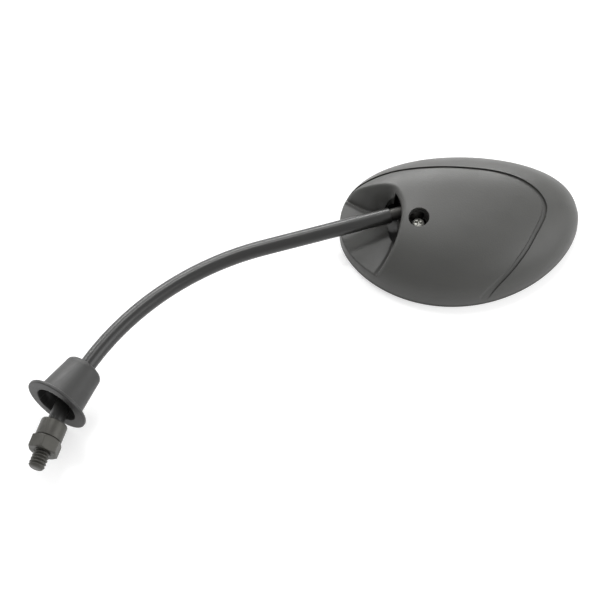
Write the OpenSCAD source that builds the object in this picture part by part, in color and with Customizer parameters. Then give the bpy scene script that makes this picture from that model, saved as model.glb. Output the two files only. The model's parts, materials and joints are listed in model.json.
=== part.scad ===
// Left-hand rear-view mirror for a scooter or light motorcycle: an egg-shaped
// housing on a ball joint, carried by a bent tube with a threaded end.
// The frame: origin on the thread's axis where the handlebar's seat meets it,
// +Z up along the thread's axis, +Y ahead of the bike, the glass facing -Y.

/* [Stem] */
// Outer diameter of the stem tube
tube_d = 10; // [8:0.5:12]
// Wall of the stem tube
tube_wall = 1.5; // [1:0.25:2]
// Radius of the stem's single bend, at the tube's axis
bend_r = 184; // [150:1:220]
// Angle through which the stem is bent
bend_deg = 55.3; // [45:0.1:65]
// From the end of the bend to the centre of the ball
reach_after_bend = 98; // [80:1:120]

/* [Threaded end] */
// Major diameter of the thread
thread_d = 10; // [8:1:10]
// Pitch diameter, at which the nut and the stud engage
thread_pitch_d = 9.2; // [7.2:0.1:9.4]
// Thread left bare below the lock nut
thread_bare = 10; // [8:0.5:16]
// Chamfer on the tip of the thread
thread_chamfer = 1; // [0.5:0.1:1.5]
// Diameter of the round collar above the nut
collar_d = 16.5; // [14:0.5:20]
// Height of the round collar
collar_h = 11; // [8:0.5:14]
// Depth of the socket in the collar that holds the tube
collar_socket = 8; // [6:0.5:9]
// Lock nut across its flats
nut_flats = 17; // [15:1:19]
// Height of the lock nut
nut_h = 8.7; // [6:0.1:10]

/* [Rubber boot] */
// Diameter of the boot's flange
boot_flange_d = 41; // [36:0.5:46]
// Thickness of the boot's flange
boot_flange_h = 2.2; // [1.5:0.1:3]
// Overall height of the boot
boot_h = 31; // [26:0.5:34]
// Diameter of the boot's body just above the flange
boot_low_d = 30; // [27:0.5:33]
// Diameter of the boot's body below its rounded shoulder
boot_top_d = 24.5; // [22:0.5:26]
// Wall of the boot
boot_wall = 1.8; // [1.4:0.1:2.4]
// Clearance between the tube and the hole in the boot's top, on the radius
boot_play = 0.3; // [0.2:0.1:1]
// Height of the boot's flange above the handlebar seat, along the stem
boot_lift = 31; // [24:1:40]

/* [Head] */
// Half of the head's length
head_half_l = 76.4; // [70:0.2:84]
// Height of the head's outline above its long axis
head_up = 47.9; // [42:0.1:54]
// Depth of the head's outline below its long axis
head_low = 54.7; // [48:0.1:60]
// Overall thickness of the head, from the bezel's front to the top of the dome
head_thick = 34; // [32:0.5:38]
// Height of the straight skirt at the housing's rim
skirt_h = 4; // [3:0.5:6]
// Wall of the housing
shell_wall = 2; // [1.8:0.1:2.4]
// Rise of the head's long axis above the horizontal
head_rise = 25.4; // [15:0.1:35]
// Ball centre along the head's long axis, from the middle of the outline
ball_x = -29.3; // [-32:0.1:-27]
// Ball centre above the head's long axis
ball_y = 7.2; // [6:0.1:9]
// Ball centre behind the front of the bezel
ball_z = 20.5; // [20:0.1:21]

/* [Scoop and holes] */
// Height of the scoop's floor beside the slot
scoop_floor_in = 12.5; // [11:0.1:13]
// Height of the scoop's floor at the rim
scoop_floor_out = 7; // [6.6:0.1:8]
// Width of the slot that the stem goes through
slot_w = 6.5; // [5:0.1:7]
// Length of that slot
slot_l = 31; // [26:0.5:33]
// Diameter of the screwdriver hole in the dome
driver_hole_d = 13; // [11:0.5:14]
// Clamp screw's centre below the ball, across the head
clamp_offset = 12.8; // [12.4:0.1:14]
// Width of the styling groove
groove_w = 2.4; // [2:0.1:3]
// Depth of the styling groove
groove_depth = 0.8; // [0.6:0.1:1]

/* [Mirror] */
// Thickness of the glass
glass_t = 2; // [1.8:0.1:3]
// Thickness of the foam pad behind the glass
pad_t = 1.2; // [0.8:0.1:2]
// Thickness of the plate that backs the pad
backing_t = 1.5; // [1.2:0.1:2]
// Thickness of the bezel's lip in front of the glass
lip_t = 1; // [0.8:0.1:1.5]
// Width of the bezel's lip
lip_w = 5; // [4:0.2:7]
// Wall of the bezel's inner skirt
bezel_wall = 0.9; // [0.7:0.1:1.2]

/* [Ball clamp] */
// Diameter of the ball
ball_d = 14; // [13:0.5:14.5]
// Diameter of the neck between the ball and the tube
neck_d = 7.8; // [6:0.1:8]
// From the ball's centre to the end of the tube
tube_gap = 16; // [14:0.5:18]
// Length of the spigot inside the tube
spigot_l = 14; // [8:1:20]
// Width of the notches in the boot's mouth
boot_notch_w = 5; // [4:0.5:6]
// Thickness of the two seat pads
seat_t = 0.6; // [0.5:0.05:0.8]
// Thickness of the two pressed plates
plate_t = 1.5; // [1.2:0.1:1.6]
// Thickness of the cups pressed into those plates
cup_t = 1.2; // [1:0.1:1.3]
// Diameter of the clamp screw's shank
screw_d = 4; // [3:0.5:4]
// Diameter of the clamp screw's head
screw_head_d = 7.6; // [6:0.2:7.8]
// Height of the clamp screw's head
screw_head_h = 3; // [2.2:0.1:3.2]
// Diameter of the small self-tapping screws
tapping_d = 2.9; // [2.5:0.1:3.1]
// Length of those screws past the plate that they hold
tapping_l = 8; // [6:0.5:9]

/* [Hidden] */
$fn = 64;

// Clearances: where a shaft runs in a hole, and where two bodies pass each other
run_gap = 0.05;
body_gap = 0.3;
// How far a cutter reaches past the face that it cuts
over = 1;
// The long straight closes over the end of the bend: how far, and how much
// thicker its wall is there on each side
bend_lap = 0.5;
lap_wall = 0.05;

// Places along the thread's axis
nut_z = body_gap;
collar_z = nut_z + nut_h + body_gap;
bend_z = collar_z + collar_h + 0.7;
socket_z = collar_z + collar_h - collar_socket;

// The ball's centre in the part's frame, X running to the bike's right
ball_pos = [-(bend_r * (1 - cos(bend_deg)) + reach_after_bend * sin(bend_deg)), 0,
            bend_z + bend_r * sin(bend_deg) + reach_after_bend * cos(bend_deg)];
// Direction of the stem at the ball, seen from the head, from its long axis
stem_in_head = 90 - bend_deg - head_rise;

// The boot is square to the stem at the hole in its top, which grips the tube
boot_grip = 2.4;
boot_notch_deep = 0.7;
boot_notch_up = 7;
boot_lean = asin((boot_lift + boot_h - boot_grip - bend_z) / bend_r);
boot_hole = [-(bend_r * (1 - cos(boot_lean))), 0, bend_z + bend_r * sin(boot_lean)];

// Radii around the ball, from the ball outwards
ball_r = ball_d / 2;
seat_in = ball_r + run_gap;
seat_out = seat_in + seat_t;
cup_in = seat_out + run_gap;
cup_out = cup_in + cup_t;
// Polar half-angle that each seat pad covers
seat_reach = 45;
// Faces of the two pressed plates, seen from the head
socket_z1 = ball_z - 3;
socket_z0 = socket_z1 - plate_t;
clamp_z0 = ball_z - 0.3;
clamp_z1 = clamp_z0 + plate_t;
washer_h = 0.9;
screw_at = [ball_x + 0.7, ball_y - clamp_offset];
// Room round the clamp and the tube's end, and the top of the slot, under the
// housing's skin
clamp_room_r = cup_out + 5;
clamp_room_z0 = 13.6;
clamp_room_z1 = 27.5;
slot_top = 27;
fulcrum_y = ball_y + 13;
// Swing and tilt that the notches leave to the stem
notch_w = neck_d + 5.4;
notch_h = neck_d + 3.6;

// Layers behind the bezel's front
glass_z = lip_t;
pad_z = glass_z + glass_t;
backing_z = pad_z + pad_t;
backing_top = backing_z + backing_t;
// Insets of the layers from the rim
shell_inset = 0.2;
bezel_inset = shell_inset + shell_wall + body_gap;
glass_inset = bezel_inset + bezel_wall + 0.2;

// Shape of the outline: how full its upper and lower halves are, and how much
// each is drawn towards the stem's end
full_up = 0.773;
full_low = 1.197;
lean_up = 0.134;
lean_low = 0.041;
// Fullness of the dome and the place of its crown
dome_full = 2.65;
crown = [-4, 6];
SEG = 60;
RINGS = 11;

// Screw posts inside the dome
socket_posts = [[-14, 22], [-13, -17], [-31, 27], [-33, -20]];
backing_posts = [[50, 6], [20, -34], [-8, 37]];
post_d = 7;

// Point of the head's outline at angle a, inset by d
function rim_point(a, d) =
    let (s = sin(a), c = cos(a), up = s >= 0)
    [(head_half_l - d) * c,
     ((up ? head_up : head_low) - d) * sign(s) * pow(abs(s), up ? full_up : full_low)
         * (1 - (up ? lean_up : lean_low) * c)];

// The whole outline, inset by d
function rim(d) = [for (i = [0:SEG - 1]) rim_point(360 * i / SEG, d)];

// One ring of the dome: the outline drawn in towards the crown as the dome rises
function dome_ring(d, rise) =
    let (k = pow(cos(rise), 2 / dome_full), z = skirt_h + (head_thick - skirt_h - d) * sin(rise))
    [for (p = rim(d)) [crown[0] + (p[0] - crown[0]) * k, crown[1] + (p[1] - crown[1]) * k, z]];

// A closed dome inset by d all over, from z0 to its crown
module dome(d, z0) {
    rings = concat([[for (p = rim(d + shell_inset)) [p[0], p[1], z0]]],
                   [for (j = [0:RINGS - 1]) dome_ring(d + shell_inset, 90 * j / RINGS)]);
    last = len(rings) - 1;
    points = concat([for (r = rings) each r], [[crown[0], crown[1], head_thick - d - shell_inset]]);
    polyhedron(points, concat(
        [[for (i = [0:SEG - 1]) i]],
        [for (j = [0:last - 1], i = [0:SEG - 1], h = [0, 1])
            let (n = (i + 1) % SEG, a = j * SEG, b = a + SEG)
            h == 0 ? [a + i, b + i, b + n] : [a + i, b + n, a + n]],
        [for (i = [0:SEG - 1]) [last * SEG + i, len(points) - 1, last * SEG + (i + 1) % SEG]]));
}

// A flat plate with the head's outline, inset by d
module egg_plate(d, z0, z1) {
    translate([0, 0, z0]) linear_extrude(z1 - z0) polygon(rim(d));
}

// Carries what is drawn in the head's own frame to its place on the ball:
// x along the head, y across it, z from the bezel towards the dome
module on_head() {
    translate(ball_pos) rotate([0, 180 + head_rise, 0]) rotate([-90, 0, 0])
        translate([-ball_x, -ball_y, -ball_z]) children();
}

// Carries what is drawn along +Z from the ball's centre to the stem's end,
// pointing back down the stem
module on_stem_end() {
    translate(ball_pos) rotate([0, 180 - bend_deg, 0]) children();
}

// Turned steel end: the thread, the collar and the socket for the tube
module end_fitting() {
    color("#3a3a30") difference() {
        rotate_extrude() polygon([
            [0, -thread_bare], [thread_d / 2 - thread_chamfer, -thread_bare],
            [thread_d / 2, thread_chamfer - thread_bare], [thread_d / 2, 0],
            [thread_pitch_d / 2, 0], [thread_pitch_d / 2, collar_z],
            [collar_d / 2 - 0.6, collar_z], [collar_d / 2, collar_z + 0.6],
            [collar_d / 2, collar_z + collar_h - 0.8], [collar_d / 2 - 0.8, collar_z + collar_h],
            [0, collar_z + collar_h]]);
        translate([0, 0, socket_z]) cylinder(d = tube_d + 0.04, h = collar_socket + over);
    }
}

// The bent tube: a short straight in the collar, the bend, a long straight
module stem_tube() {
    color("#1c1c1c") {
        translate([0, 0, socket_z]) linear_extrude(bend_z - socket_z) tube_section(0);
        translate([-bend_r, 0, bend_z]) rotate([90, 0, 0])
            rotate_extrude(angle = bend_deg, $fn = 180) translate([bend_r, 0]) tube_section(0);
        on_stem_end() translate([0, 0, tube_gap])
            linear_extrude(reach_after_bend - tube_gap + bend_lap) tube_section(lap_wall);
    }
}

// The tube's section, its wall grown by grow on each side
module tube_section(grow) {
    difference() {
        circle(r = tube_d / 2 + grow);
        circle(r = tube_d / 2 - tube_wall - grow);
    }
}

// The ball with its neck and the spigot pressed into the tube
module ball_stud() {
    color("#8a8a86") on_stem_end() {
        sphere(r = ball_r);
        cylinder(d = neck_d, h = tube_gap);
        cylinder(d = tube_d - 2 * tube_wall - 2 * lap_wall - 0.04, h = tube_gap + spigot_l);
    }
}

// Hexagonal lock nut, its corners turned off at both faces
module lock_nut() {
    corner_r = nut_flats / 2 / cos(30);
    color("#3a3a30") translate([0, 0, nut_z]) difference() {
        intersection() {
            cylinder(r = corner_r, h = nut_h, $fn = 6);
            rotate_extrude() polygon([
                [0, 0], [nut_flats / 2, 0], [corner_r + 0.1, 0.9],
                [corner_r + 0.1, nut_h - 0.9], [nut_flats / 2, nut_h], [0, nut_h]]);
        }
        translate([0, 0, -over]) cylinder(d = thread_pitch_d + 2 * run_gap, h = nut_h + 2 * over);
    }
}

// Soft boot that slides down the stem over the nut
module rubber_boot() {
    hole_r = tube_d / 2 + boot_play;
    low_r = boot_low_d / 2;
    top_r = boot_top_d / 2;
    round_r = 4;
    color("#333333") translate(boot_hole) rotate([0, -boot_lean, 0])
        translate([0, 0, boot_grip / 2 - boot_h]) difference() {
            rotate_extrude() difference() {
                union() {
                    square([boot_flange_d / 2, boot_flange_h]);
                    polygon([[0, 0], [low_r + 0.8, boot_flange_h - 0.1], [low_r, boot_flange_h + 1],
                             [top_r, boot_h - round_r], [0, boot_h - round_r]]);
                    square([top_r - round_r, boot_h]);
                    translate([top_r - round_r, boot_h - round_r]) intersection() {
                        circle(r = round_r);
                        square(round_r);
                    }
                }
                translate([-over, -over]) square([over, boot_h + 2 * over]);
                polygon([[0, -over], [low_r - boot_wall + 0.1, -over],
                         [low_r - boot_wall, 0.5], [top_r - boot_wall - 0.6, boot_h - round_r],
                         [top_r - round_r, boot_h - boot_grip], [0, boot_h - boot_grip]]);
                square([hole_r, boot_h + over]);
            }
            for (side = [0, 180]) rotate([0, 0, side - 35])
                translate([low_r - boot_wall - 2, -boot_notch_w / 2, -over])
                    cube([2 + boot_notch_deep, boot_notch_w, boot_notch_up + over]);
        }
}

// Ball-side end of the scoop, its floor sloping down to the rim.
// The floor is narrower than the mouth, because the upper side leans back.
module scoop(grow) {
    mouth = [[-95, 36], [-62, 27.5], [-48, 24], [-41, 20.5], [-38.2, 15], [-37.4, 6],
             [-39.2, -4], [-44, -16], [-50, -25], [-58, -33.5], [-95, -62]];
    floor_in = [[-95, 34], [-66, 20], [-56, 13], [-46, 14.5], [-42, 13], [-38.5, 6],
                [-40, -4], [-44.6, -16], [-50.6, -25], [-58.6, -33.5], [-95, -62]];
    n = len(mouth);
    slope = (scoop_floor_in - scoop_floor_out) / 36;
    function floor_z(x) = scoop_floor_in - grow + slope * min(0, x + 45);
    function wide(p) = [p[0] + grow, p[1] + (p[1] > 0 ? grow : -grow * 1.3)];
    bottom = [for (p = floor_in) let (q = wide(p)) [q[0], q[1], floor_z(q[0])]];
    top = [for (p = mouth) let (q = wide(p)) [q[0], q[1], head_thick + 2]];
    floor_mid = [-60, -5, floor_z(-60)];
    polyhedron(concat(bottom, top, [floor_mid]), concat(
        [for (i = [0:n - 1]) [2 * n, (i + 1) % n, i]],
        [for (i = [0:n - 1], h = [0, 1]) let (m = (i + 1) % n)
            h == 0 ? [i, m, n + m] : [i, n + m, n + i]],
        [[for (i = [0:n - 1]) n + i]]));
}

// Posts that hang from the dome, down to the plates that they carry
module posts() {
    intersection() {
        union() {
            for (p = socket_posts) translate([p[0], p[1], socket_z1]) cylinder(d = post_d, h = head_thick);
            for (p = backing_posts) translate([p[0], p[1], backing_top]) cylinder(d = post_d, h = head_thick);
        }
        dome(shell_wall / 2, 0);
    }
}

// Moulded housing: dome, scoop, slot, screwdriver hole and screw posts
module housing_shell() {
    color("#4c4c49") on_head() difference() {
        union() {
            difference() {
                dome(0, lip_t);
                difference() {
                    dome(shell_wall, 0);
                    scoop(shell_wall);
                }
            }
            posts();
        }
        scoop(0);
        groove();
        slot();
        translate([ball_x, ball_y, clamp_room_z0]) cylinder(r = clamp_room_r, h = clamp_room_z1 - clamp_room_z0);
        translate([screw_at[0], screw_at[1], ball_z]) cylinder(d = driver_hole_d, h = head_thick);
        for (p = socket_posts) translate([p[0], p[1], socket_z1 - over])
            cylinder(d = tapping_d, h = tapping_l + 1 + over);
        for (p = backing_posts) translate([p[0], p[1], backing_top - over])
            cylinder(d = tapping_d, h = tapping_l + 1 + over);
    }
}

// Middle of the styling groove, from the rim over the dome to the lower lip
groove_line = [[-76, 37], [-62, 35.2], [-52, 34.2], [-43, 33.9], [-34.3, 33.6], [-26, 32.9], [-18.7, 31.9],
               [-10, 30.8], [-2.6, 29.3], [9, 26.9], [20.1, 23.9], [28, 21.1], [34.9, 17.7], [40, 14.3],
               [43.9, 10.9], [47, 7.6], [49.2, 4.1], [50.7, 0.5], [51.3, -3.1], [51.1, -6.4], [50, -9.5],
               [47, -15], [43.2, -20.6], [39.9, -25.7], [36, -30.5], [28, -39], [21, -44.8], [13, -50]];

// Edge of the groove beside its middle line, at a distance to the left of it
function beside(line, side) = [for (i = [0:len(line) - 1])
    let (d = line[min(i + 1, len(line) - 1)] - line[max(i - 1, 0)])
    line[i] + side * [-d[1], d[0]] / norm(d)];

// The groove's shallow channel: a band over the dome, down to its own depth
module groove() {
    band = concat(beside(groove_line, groove_w / 2),
                  [let (b = beside(groove_line, -groove_w / 2)) for (i = [len(b) - 1:-1:0]) b[i]]);
    difference() {
        translate([0, 0, skirt_h + 1.5]) linear_extrude(head_thick) polygon(band);
        dome(groove_depth, 0);
    }
}

// The slot in the scoop's floor, round at both ends
module slot() {
    translate([-42.6, 0, 0]) rotate([0, 0, -5]) translate([0, -slot_l / 2 + slot_w / 2, 0]) {
        for (y = [0, slot_l - slot_w]) translate([0, y, -over]) cylinder(d = slot_w, h = slot_top + over);
        translate([-slot_w / 2, 0, -over]) cube([slot_w, slot_l - slot_w, slot_top + over]);
    }
}

// Bezel that holds the glass in the housing's rim
module rim_bezel() {
    color("#262626") on_head() {
        difference() {
            egg_plate(0, 0, lip_t);
            egg_plate(lip_w, -over, lip_t + over);
        }
        difference() {
            egg_plate(bezel_inset, lip_t, skirt_h);
            egg_plate(bezel_inset + bezel_wall, lip_t - over, skirt_h + over);
        }
    }
}

module mirror_glass() {
    color("#c8d0d4") on_head() egg_plate(glass_inset, glass_z, glass_z + glass_t);
}

module foam_pad() {
    color("#55585c") on_head() egg_plate(glass_inset + 1, pad_z, pad_z + pad_t);
}

// Plate behind the pad, held to three posts
module backing_plate() {
    color("#2e2e2e") on_head() difference() {
        egg_plate(glass_inset + 0.2, backing_z, backing_top);
        for (p = backing_posts) translate([p[0], p[1], 0]) {
            translate([0, 0, backing_z - over]) cylinder(d = tapping_d + 0.2, h = backing_t + 2 * over);
            translate([0, 0, backing_z - 0.01])
                cylinder(r1 = tapping_d + 0.05, r2 = tapping_d / 2 + 0.05, h = backing_t - 0.1);
        }
    }
}

module backing_screws() {
    color("#9a9a94") on_head() for (p = backing_posts) translate([p[0], p[1], backing_z]) {
        cylinder(r1 = tapping_d, r2 = tapping_d / 2, h = backing_t - 0.1);
        cylinder(d = tapping_d - 0.06, h = backing_t + tapping_l);
    }
}

// The spherical cup pressed into a plate, on the side that dir points to
module cup(dir) {
    translate([ball_x, ball_y, ball_z]) difference() {
        intersection() {
            sphere(r = cup_out);
            translate([-20, -20, dir > 0 ? clamp_z0 - ball_z : -20]) cube([40, 40, dir > 0 ? 20 : 20 + socket_z1 - ball_z]);
        }
        sphere(r = cup_in);
    }
}

// Room that both plates leave for the neck as the head is turned
module neck_notch() {
    translate([ball_x, ball_y, ball_z]) rotate([0, 0, 180 + stem_in_head])
        translate([0, -notch_w / 2, -notch_h / 2]) cube([30, notch_w, notch_h]);
}

// Lower pressed plate: the ball's rear socket, screwed to the housing's posts
module socket_plate() {
    color("#77776f") on_head() difference() {
        union() {
            difference() {
                translate([0, 0, socket_z0]) linear_extrude(plate_t)
                    hull() for (p = socket_posts) translate(p) circle(r = post_d / 2 + 0.5, $fn = 32);
                translate([ball_x, ball_y, ball_z]) sphere(r = cup_in);
            }
            cup(-1);
        }
        neck_notch();
        for (p = socket_posts) translate([p[0], p[1], socket_z0 - over])
            cylinder(d = tapping_d + 0.3, h = plate_t + 2 * over);
        translate([screw_at[0], screw_at[1], socket_z0 - over])
            cylinder(d = screw_d + 0.3, h = plate_t + 2 * over);
    }
}

module socket_screws() {
    color("#9a9a94") on_head() for (p = socket_posts) translate([p[0], p[1], socket_z0]) {
        translate([0, 0, -2]) cylinder(d = 2 * tapping_d - 0.2, h = 2);
        cylinder(d = tapping_d - 0.06, h = plate_t + tapping_l);
    }
}

// Upper pressed plate: the ball's front cup, drawn down by the clamp screw and
// bearing on the lower plate at the far side of the ball
module clamp_plate() {
    color("#77776f") on_head() difference() {
        union() {
            difference() {
                translate([0, 0, clamp_z0]) linear_extrude(plate_t) {
                    translate([ball_x, ball_y]) circle(r = cup_out + 1.5);
                    translate(screw_at) circle(r = 4.4);
                    translate([ball_x - 4.4, screw_at[1]]) square([9.1, clamp_offset]);
                    translate([ball_x - 5, ball_y]) square([10, fulcrum_y + 1.5 - ball_y]);
                }
                translate([ball_x, ball_y, ball_z]) sphere(r = cup_in);
            }
            cup(1);
            translate([ball_x - 5, fulcrum_y, socket_z1]) cube([10, 1.5, clamp_z1 - socket_z1]);
        }
        neck_notch();
        translate([screw_at[0], screw_at[1], clamp_z0 - over])
            cylinder(d = screw_d + 0.3, h = plate_t + 2 * over);
    }
}

// A seat pad: a cap of a hollow sphere round the ball, on one side of it
module seat_pad(dir) {
    h = seat_in * cos(seat_reach);
    difference() {
        intersection() {
            sphere(r = seat_out);
            translate([-15, -15, dir > 0 ? h : -15]) cube([30, 30, 15 - h]);
        }
        sphere(r = seat_in);
    }
}

module rear_seat_pad() {
    color("#d8d4c4") on_head() translate([ball_x, ball_y, ball_z]) seat_pad(-1);
}

module front_seat_pad() {
    color("#d8d4c4") on_head() translate([ball_x, ball_y, ball_z]) seat_pad(1);
}

// Cross-recessed pan-head screw that clamps the ball
module clamp_screw() {
    head_z = clamp_z1 + washer_h;
    tip_z = socket_z0 - 5;
    color("#b4b4ac") on_head() translate([screw_at[0], screw_at[1], 0]) difference() {
        union() {
            translate([0, 0, head_z]) rotate_extrude() polygon([
                [0, 0], [screw_head_d / 2, 0], [screw_head_d / 2, screw_head_h - 1.2],
                [screw_head_d / 2 - 0.5, screw_head_h - 0.4], [screw_head_d / 2 - 1.4, screw_head_h],
                [0, screw_head_h]]);
            translate([0, 0, tip_z]) cylinder(d = screw_d, h = head_z - tip_z);
        }
        for (turn = [20, 110]) translate([0, 0, head_z + screw_head_h - 1.6]) rotate([0, 0, turn])
            translate([-2.2, -0.45, 0]) cube([4.4, 0.9, 2]);
    }
}

module spring_washer() {
    color("#8a8a86") on_head() translate([screw_at[0], screw_at[1], clamp_z1]) difference() {
        cylinder(d = screw_head_d - 0.4, h = washer_h);
        translate([0, 0, -over]) cylinder(d = screw_d + 0.3, h = washer_h + 2 * over);
        translate([0, -0.5, -over]) cube([screw_head_d, 1, washer_h + 2 * over]);
    }
}

module clamp_nut() {
    color("#8a8a86") on_head() translate([screw_at[0], screw_at[1], socket_z0 - 3.2]) difference() {
        cylinder(r = 7 / 2 / cos(30), h = 3.2, $fn = 6);
        translate([0, 0, -over]) cylinder(d = screw_d + 0.04, h = 3.2 + 2 * over);
    }
}

end_fitting();
stem_tube();
ball_stud();
lock_nut();
rubber_boot();
housing_shell();
rim_bezel();
mirror_glass();
foam_pad();
backing_plate();
backing_screws();
socket_plate();
socket_screws();
clamp_plate();
rear_seat_pad();
front_seat_pad();
clamp_screw();
spring_washer();
clamp_nut();
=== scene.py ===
# %% [markdown]
# A left-hand rear-view mirror for a scooter, seen from behind as it lies on its glass. This script gives that
# frame its looks. It lights the mirror, makes finer surfaces for the pieces that show, and gives every piece
# a finish worked out from its real material.

import json
import math

import bmesh
import bpy
import numpy as np
from mathutils import Matrix


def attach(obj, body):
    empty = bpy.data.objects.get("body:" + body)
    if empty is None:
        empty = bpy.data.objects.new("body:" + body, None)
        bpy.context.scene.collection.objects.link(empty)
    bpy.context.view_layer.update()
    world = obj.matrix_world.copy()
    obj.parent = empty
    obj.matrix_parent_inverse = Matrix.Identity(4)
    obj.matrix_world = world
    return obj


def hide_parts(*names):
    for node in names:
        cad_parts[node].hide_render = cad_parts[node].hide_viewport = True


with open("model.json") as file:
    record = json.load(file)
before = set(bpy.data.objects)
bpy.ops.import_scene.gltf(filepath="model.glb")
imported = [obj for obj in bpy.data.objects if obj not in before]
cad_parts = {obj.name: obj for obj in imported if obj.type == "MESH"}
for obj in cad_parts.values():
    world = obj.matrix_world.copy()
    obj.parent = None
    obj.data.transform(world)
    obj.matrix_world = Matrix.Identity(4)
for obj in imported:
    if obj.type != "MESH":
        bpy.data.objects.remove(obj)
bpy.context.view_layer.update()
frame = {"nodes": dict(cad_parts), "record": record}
nodes = frame["nodes"]
print("pieces in the frame:", len(nodes))

# %% [markdown]
# The sizes below are the ones that the measured model was drawn with, in millimetres.
# The head has its own directions: x along the head, y across it and z from the mirror's side to the dome.
# One function carries a point from the head to the frame, so each surface can be written in the head's terms.

# %% Sizes shared with the measured model
MM = 0.001
TUBE_R, TUBE_WALL = 5.0, 1.5
# The bend's radius and angle, the height where it begins, and the height of the tube's lower end.
BEND_R, BEND = 184.0, math.radians(55.3)
BEND_Z, SOCKET_Z = 21.0, 12.3
# The straight length from the bend to the ball, and how far before the ball the tube ends.
REACH, TUBE_GAP = 98.0, 16.0
# The angle by which the head's long direction rises from the level, and the ball's place in the head.
HEAD_RISE = math.radians(25.4)
BALL_X, BALL_Y, BALL_Z = -29.3, 7.2, 20.5
BALL = np.array([-(BEND_R * (1 - math.cos(BEND)) + REACH * math.sin(BEND)), 0.0,
                 BEND_Z + BEND_R * math.sin(BEND) + REACH * math.cos(BEND)])
HEAD_X = np.array([-math.cos(HEAD_RISE), 0.0, math.sin(HEAD_RISE)])
HEAD_Y = np.array([math.sin(HEAD_RISE), 0.0, math.cos(HEAD_RISE)])
HEAD_Z = np.array([0.0, 1.0, 0.0])


def on_head(x, y, z):
    """Frame point (metres) of a head point (millimetres): the ball, plus each offset along its direction."""
    x, y, z = np.broadcast_arrays(x, y, z)
    point = (BALL + (x[..., None] - BALL_X) * HEAD_X + (y[..., None] - BALL_Y) * HEAD_Y
             + (z[..., None] - BALL_Z) * HEAD_Z)
    return point * MM


print("ball at", np.round(BALL, 1), "mm")

# %% [markdown]
# Colours are written as they look on a screen, and the renderer works with amounts of light,
# so one function turns the first into the second. Another adds a node and joins its inputs in one line.

# %% Helpers for colours and nodes
def linear(code):
    """Linear colour of a hex code: each channel c becomes c/12.92 when dark, else ((c + 0.055) / 1.055) to
    the power 2.4."""
    c = np.array([int(code[i:i + 2], 16) / 255 for i in (1, 3, 5)])
    c = np.where(c <= 0.04045, c / 12.92, ((c + 0.055) / 1.055) ** 2.4)
    return (*c.tolist(), 1.0)


def empty_tree(owner):
    """The node tree of a material or a world, with nothing in it."""
    owner.use_nodes = True
    owner.node_tree.nodes.clear()
    return owner.node_tree


def add(tree, kind, inputs=None, **settings):
    """Adds a node. Each input is given by name or number, as a value or as another node's output."""
    node = tree.nodes.new(kind)
    for name, value in settings.items():
        setattr(node, name, value)
    for key, value in (inputs or {}).items():
        if isinstance(value, bpy.types.NodeSocket):
            tree.links.new(value, node.inputs[key])
        else:
            node.inputs[key].default_value = value
    return node


# %% [markdown]
# The camera stands where the photographer stood: 1.2 m from the mirror and 62 degrees above the table.
# The table is the plane of the bezel's front, so directions are given along it and away from it.

# %% Camera
PICTURE_RIGHT = np.array([-0.9497, 0.0, 0.3132])
PICTURE_FAR = np.array([0.3132, 0.0, 0.9497])
AWAY = np.array([0.0, 1.0, 0.0])
ELEVATION = math.radians(62)
TARGET = np.array([-108.74, -20.5, 154.64]) * MM
DISTANCE = 1.2
LENS_MM, SENSOR_MM = 115.2, 36


def place(obj, position, right, up):
    """Stands an object at a position, its own x to the right, its y up and its z towards the viewer."""
    back = np.cross(right, up)
    matrix = np.eye(4)
    matrix[:3, 0], matrix[:3, 1], matrix[:3, 2], matrix[:3, 3] = right, up, back, position
    obj.matrix_world = Matrix(matrix.tolist())


def aim(position, target, right):
    """Right and up of something at a position that looks at a target."""
    ahead = (target - position) / np.linalg.norm(target - position)
    right = right - ahead * (right @ ahead)
    right = right / np.linalg.norm(right)
    return right, np.cross(right, ahead)


camera_data = bpy.data.cameras.new("camera")
camera_data.lens = LENS_MM
camera_data.sensor_width = SENSOR_MM
camera_data.clip_start, camera_data.clip_end = 0.05, 20
camera = bpy.data.objects.new("camera", camera_data)
bpy.context.scene.collection.objects.link(camera)
ahead = math.cos(ELEVATION) * PICTURE_FAR - math.sin(ELEVATION) * AWAY
camera_at = TARGET - DISTANCE * ahead
place(camera, camera_at, *aim(camera_at, TARGET, PICTURE_RIGHT))
bpy.context.scene.camera = camera
print("camera at", np.round(camera_at, 3), "m")

# %% [markdown]
# The light is a photographer's: a small lamp beyond the mirror and high above it, a wide one lower behind it,
# a weak one at the right, and a pale room that is darker behind the camera. The high lamp throws the stem's
# shadow into the scoop, and the wide one gives the bright band along the far edge of the dome.
# What the camera sees past the table is plain white, and metal and glass show part of that white too.

# %% Lamps and room
ROOM_DARK, ROOM_LIGHT, WHITE_IN_REFLECTIONS = 0.48, 1.16, 0.4
LIGHT_SIDE = 0.6 * PICTURE_FAR + 0.65 * PICTURE_RIGHT - 0.5 * AWAY


def soft_lamp(name, elevation, turn, distance, width, height, watts):
    """An area lamp that looks at the mirror. Elevation is over the table, and turn is from far to right."""
    e, t = math.radians(elevation), math.radians(turn)
    side = math.cos(t) * PICTURE_FAR + math.sin(t) * PICTURE_RIGHT
    position = TARGET + distance * (math.cos(e) * side + math.sin(e) * AWAY)
    data = bpy.data.lights.new(name, "AREA")
    data.shape, data.size, data.size_y, data.energy = "RECTANGLE", width, height, watts
    lamp = bpy.data.objects.new(name, data)
    bpy.context.scene.collection.objects.link(lamp)
    place(lamp, position, *aim(position, TARGET, PICTURE_RIGHT))


soft_lamp("key_lamp", elevation=60, turn=-14, distance=1.1, width=0.22, height=0.16, watts=2.6)
soft_lamp("far_lamp", elevation=27, turn=-10, distance=1.3, width=1.7, height=0.25, watts=19)
soft_lamp("right_lamp", elevation=30, turn=100, distance=1.3, width=1.0, height=0.8, watts=6)

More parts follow.
